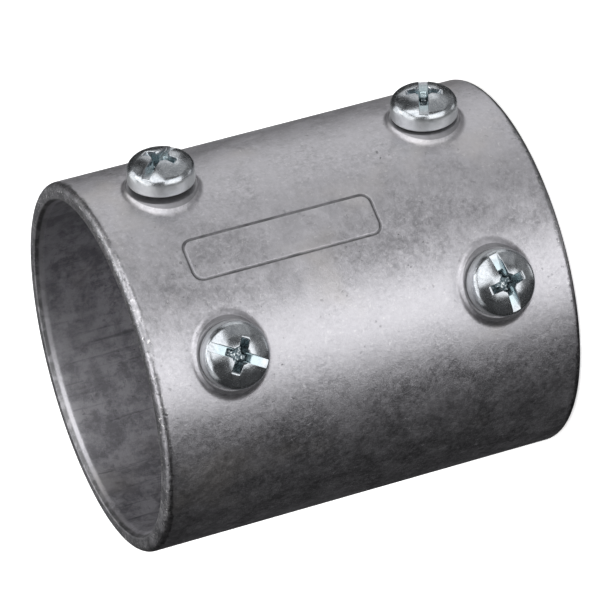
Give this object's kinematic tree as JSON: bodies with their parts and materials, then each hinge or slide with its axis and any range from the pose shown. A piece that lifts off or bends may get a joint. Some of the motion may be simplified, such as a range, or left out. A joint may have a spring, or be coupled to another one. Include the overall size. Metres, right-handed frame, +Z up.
{
  "type": "conduit coupling",
  "caption": "Cast set-screw coupling that joins two rigid conduit ends inside a round sleeve, with pan-head set screws on raised bosses at either end.",
  "frame": {"origin": "middle of the part's footprint on its lower end face; the bore's axis lies 1.38 mm towards +Y of it, because the screw heads stand out at the front", "axes": "+Z up along the bore, -Y midway between the two lines of screws, +X to the right when the screws face the viewer"},
  "size_m": [0.068, 0.0708, 0.0795],
  "materials": {
    "cast_aluminium": "die cast, tumbled to a satin grey with faint mottling and fine pits",
    "zinc_plated_steel": "bright zinc plating with a faint blue cast, smooth and glossy"
  },
  "bodies": {
    "sleeve": {"coupling_body": "cast_aluminium"},
    "screw_top_left": {"set_screw_top_left": "zinc_plated_steel"},
    "screw_top_right": {"set_screw_top_right": "zinc_plated_steel"},
    "screw_bottom_left": {"set_screw_bottom_left": "zinc_plated_steel"},
    "screw_bottom_right": {"set_screw_bottom_right": "zinc_plated_steel"}
  },
  "joints": [
    {"name": "top_left_screw_travel", "type": "slide", "parent": "sleeve", "child": "screw_top_left", "axis": [-0.5, -0.866, 0], "range_m": [-0.0003, 0.00325]},
    {"name": "top_right_screw_travel", "type": "slide", "parent": "sleeve", "child": "screw_top_right", "axis": [0.5, -0.866, 0], "range_m": [-0.0009, 0.00265]},
    {"name": "bottom_left_screw_travel", "type": "slide", "parent": "sleeve", "child": "screw_bottom_left", "axis": [-0.5, -0.866, 0], "range_m": [-0.0003, 0.00325]},
    {"name": "bottom_right_screw_travel", "type": "slide", "parent": "sleeve", "child": "screw_bottom_right", "axis": [0.5, -0.866, 0], "range_m": [-0.0003, 0.00325]}
  ]
}
